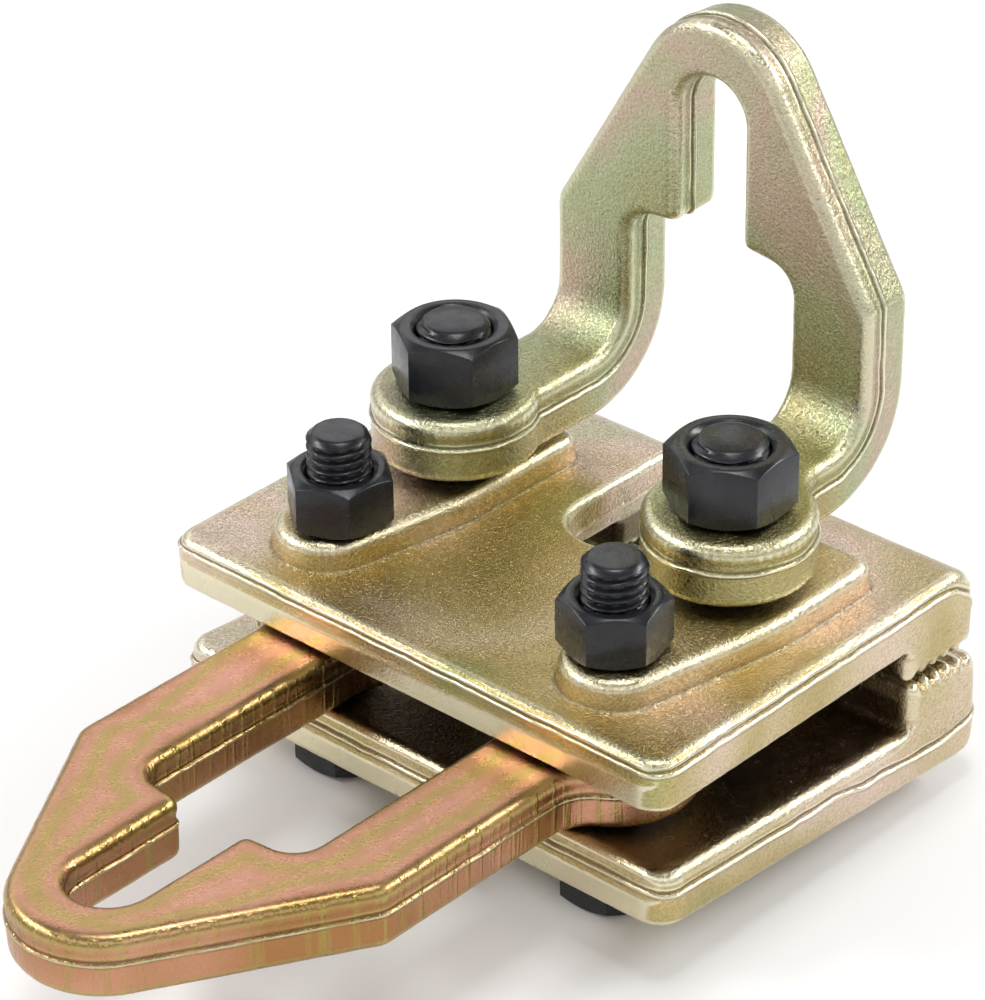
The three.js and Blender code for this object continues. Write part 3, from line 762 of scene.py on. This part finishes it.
def black_oxide():
    """Black finish of the nuts and bolts, a little cloudy and uneven in gloss."""
    n = Nodes("black_oxide")
    cloud = n.noise(120, 5, 0.6)
    color = n.ramp(cloud, ((0.3, (0.008, 0.008, 0.010)), (0.55, (0.013, 0.014, 0.017)),
                           (0.8, (0.026, 0.027, 0.032))))
    n.link(color, n.shader.inputs["Base Color"])
    n.shader.inputs["Metallic"].default_value = 0.0
    n.shader.inputs["Specular IOR Level"].default_value = 0.42
    n.link(n.span(n.noise(400, 5, 0.6), 0.3, 0.7, 0.2, 0.34), n.shader.inputs["Roughness"])
    n.link(n.bump(n.noise(700, 5, 0.6), 0.3, 0.00008), n.shader.inputs["Normal"])
    return n.material


black = black_oxide()

PIECES = [(upper_jaw, "upper_assembly", "upper_jaw", "jaw_plating", jaw_metal),
          (upright_ring, "upper_assembly", "upright_pull_ring", "upright_ring_plating", upright_metal),
          (lower_jaw, "lower_jaw", "lower_jaw", "jaw_plating", jaw_metal),
          (flat_ring, "flat_pull_ring", "flat_pull_ring", "flat_ring_plating", flat_metal)]
for node, obj in hardware.items():
    body = "upper_assembly" if node.startswith("spacer") else node
    PIECES.append((obj, body, node, "black_oxide", black))
for obj, body, node, slot, material in PIECES:
    obj.data.materials.append(material)
    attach(obj, body)
    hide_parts(node)


# ---------------------------------------------------------------- stage, light and camera

def softbox(name, azimuth, elevation, distance, size, power, size_y=None):
    """Rectangular lamp facing CENTRE. azimuth 0 is towards -Y; metres, degrees and watts."""
    a, e = math.radians(azimuth), math.radians(elevation)
    back = Vector((math.sin(a) * math.cos(e), -math.cos(a) * math.cos(e), math.sin(e)))
    light = bpy.data.lights.new(name, "AREA")
    light.shape = "RECTANGLE"
    light.size, light.size_y = size, size_y or size
    light.energy = power
    obj = bpy.data.objects.new(name, light)
    bpy.context.scene.collection.objects.link(obj)
    obj.location = Vector(CENTRE) + back * distance
    obj.rotation_mode = "QUATERNION"
    obj.rotation_quaternion = back.to_track_quat("Z", "Y")


floor_mesh = bpy.data.meshes.new("floor")
floor_mesh.from_pydata([(-3, -3, 0), (3, -3, 0), (3, 3, 0), (-3, 3, 0)], [], [(0, 1, 2, 3)])
floor = bpy.data.objects.new("floor", floor_mesh)
floor.location.z = -0.0002  # just clear of the bolt heads
bpy.context.scene.collection.objects.link(floor)
paper = Nodes("pale_floor")
paper.link(paper.ramp(paper.noise(3, 2, 0.5), ((0.3, (0.86, 0.86, 0.86)), (0.7, (0.9, 0.9, 0.9)))),
           paper.shader.inputs["Base Color"])
paper.shader.inputs["Roughness"].default_value = 0.8
floor.data.materials.append(paper.material)

CENTRE = (0.02, 0, 0.05)
softbox("overhead", 0, 86, 0.9, 0.3, 2.3)
softbox("left_strip", -139, 39, 1.0, 0.5, 3.4, 0.12)
softbox("right_strip", 52, 34, 1.0, 0.5, 3.4, 0.12)

world = bpy.data.worlds.new("studio")
bpy.context.scene.world = world
world.use_nodes = True
tree = world.node_tree
coords = tree.nodes.new("ShaderNodeTexCoord")
split = tree.nodes.new("ShaderNodeSeparateXYZ")
ramp = tree.nodes.new("ShaderNodeValToRGB")
tree.links.new(coords.outputs["Generated"], split.inputs["Vector"])
tree.links.new(split.outputs["Z"], ramp.inputs["Fac"])
tree.links.new(ramp.outputs["Color"], tree.nodes["Background"].inputs["Color"])
# Brightness of the surroundings by height: light at the bottom and the top, and between them two dark bands
# with a bright one in the middle.
stops = ((0.0, 0.9), (0.07, 0.8), (0.14, 0.12), (0.28, 0.2), (0.38, 1.5),
         (0.64, 1.65), (0.74, 0.2), (0.88, 0.22), (1.0, 0.7))
while len(ramp.color_ramp.elements) < len(stops):
    ramp.color_ramp.elements.new(0.5)
for element, (at, value) in zip(ramp.color_ramp.elements, stops):
    element.position = at
    element.color = (value, value, value, 1)
tree.nodes["Background"].inputs["Strength"].default_value = 1.0

# The view: from the corner between -X and -Y, about 31 degrees above, with a long lens. All of these values
# come from a pinhole camera that was fitted to the photograph. Lengths are in millimetres, and TURN_RIGHT and
# TURN_UP turn the camera slightly away from AIM.
AZIMUTH, ELEVATION, ROLL = math.radians(-47.75), math.radians(30.85), math.radians(-0.57)
DISTANCE, SENSOR, LENS = 803.5, 36.0, 159.408
AIM = np.array([-8.28, 7.58, 20.0])
TURN_RIGHT, TURN_UP = math.radians(-0.1553), math.radians(0.0815)
back = Vector((math.sin(AZIMUTH) * math.cos(ELEVATION), -math.cos(AZIMUTH) * math.cos(ELEVATION),
               math.sin(ELEVATION)))
right = (-back).cross(Vector((0, 0, 1))).normalized()
up = right.cross(-back)
right, up = math.cos(ROLL) * right + math.sin(ROLL) * up, math.cos(ROLL) * up - math.sin(ROLL) * right
ahead = (-back + right * TURN_RIGHT + up * TURN_UP).normalized()
right = ahead.cross(up).normalized()
up = right.cross(ahead)
camera = bpy.data.objects.new("camera", bpy.data.cameras.new("camera"))
bpy.context.scene.collection.objects.link(camera)
place_at = Vector((AIM + SHIFT) * MM) + back * DISTANCE * MM
turn = Matrix((right, up, -ahead)).transposed().to_4x4()
camera.matrix_world = Matrix.Translation(place_at) @ turn
bpy.context.scene.view_settings.view_transform = "Standard"
camera.data.sensor_width = SENSOR
camera.data.lens = LENS
camera.data.clip_start, camera.data.clip_end = 0.05, 20
bpy.context.scene.camera = camera
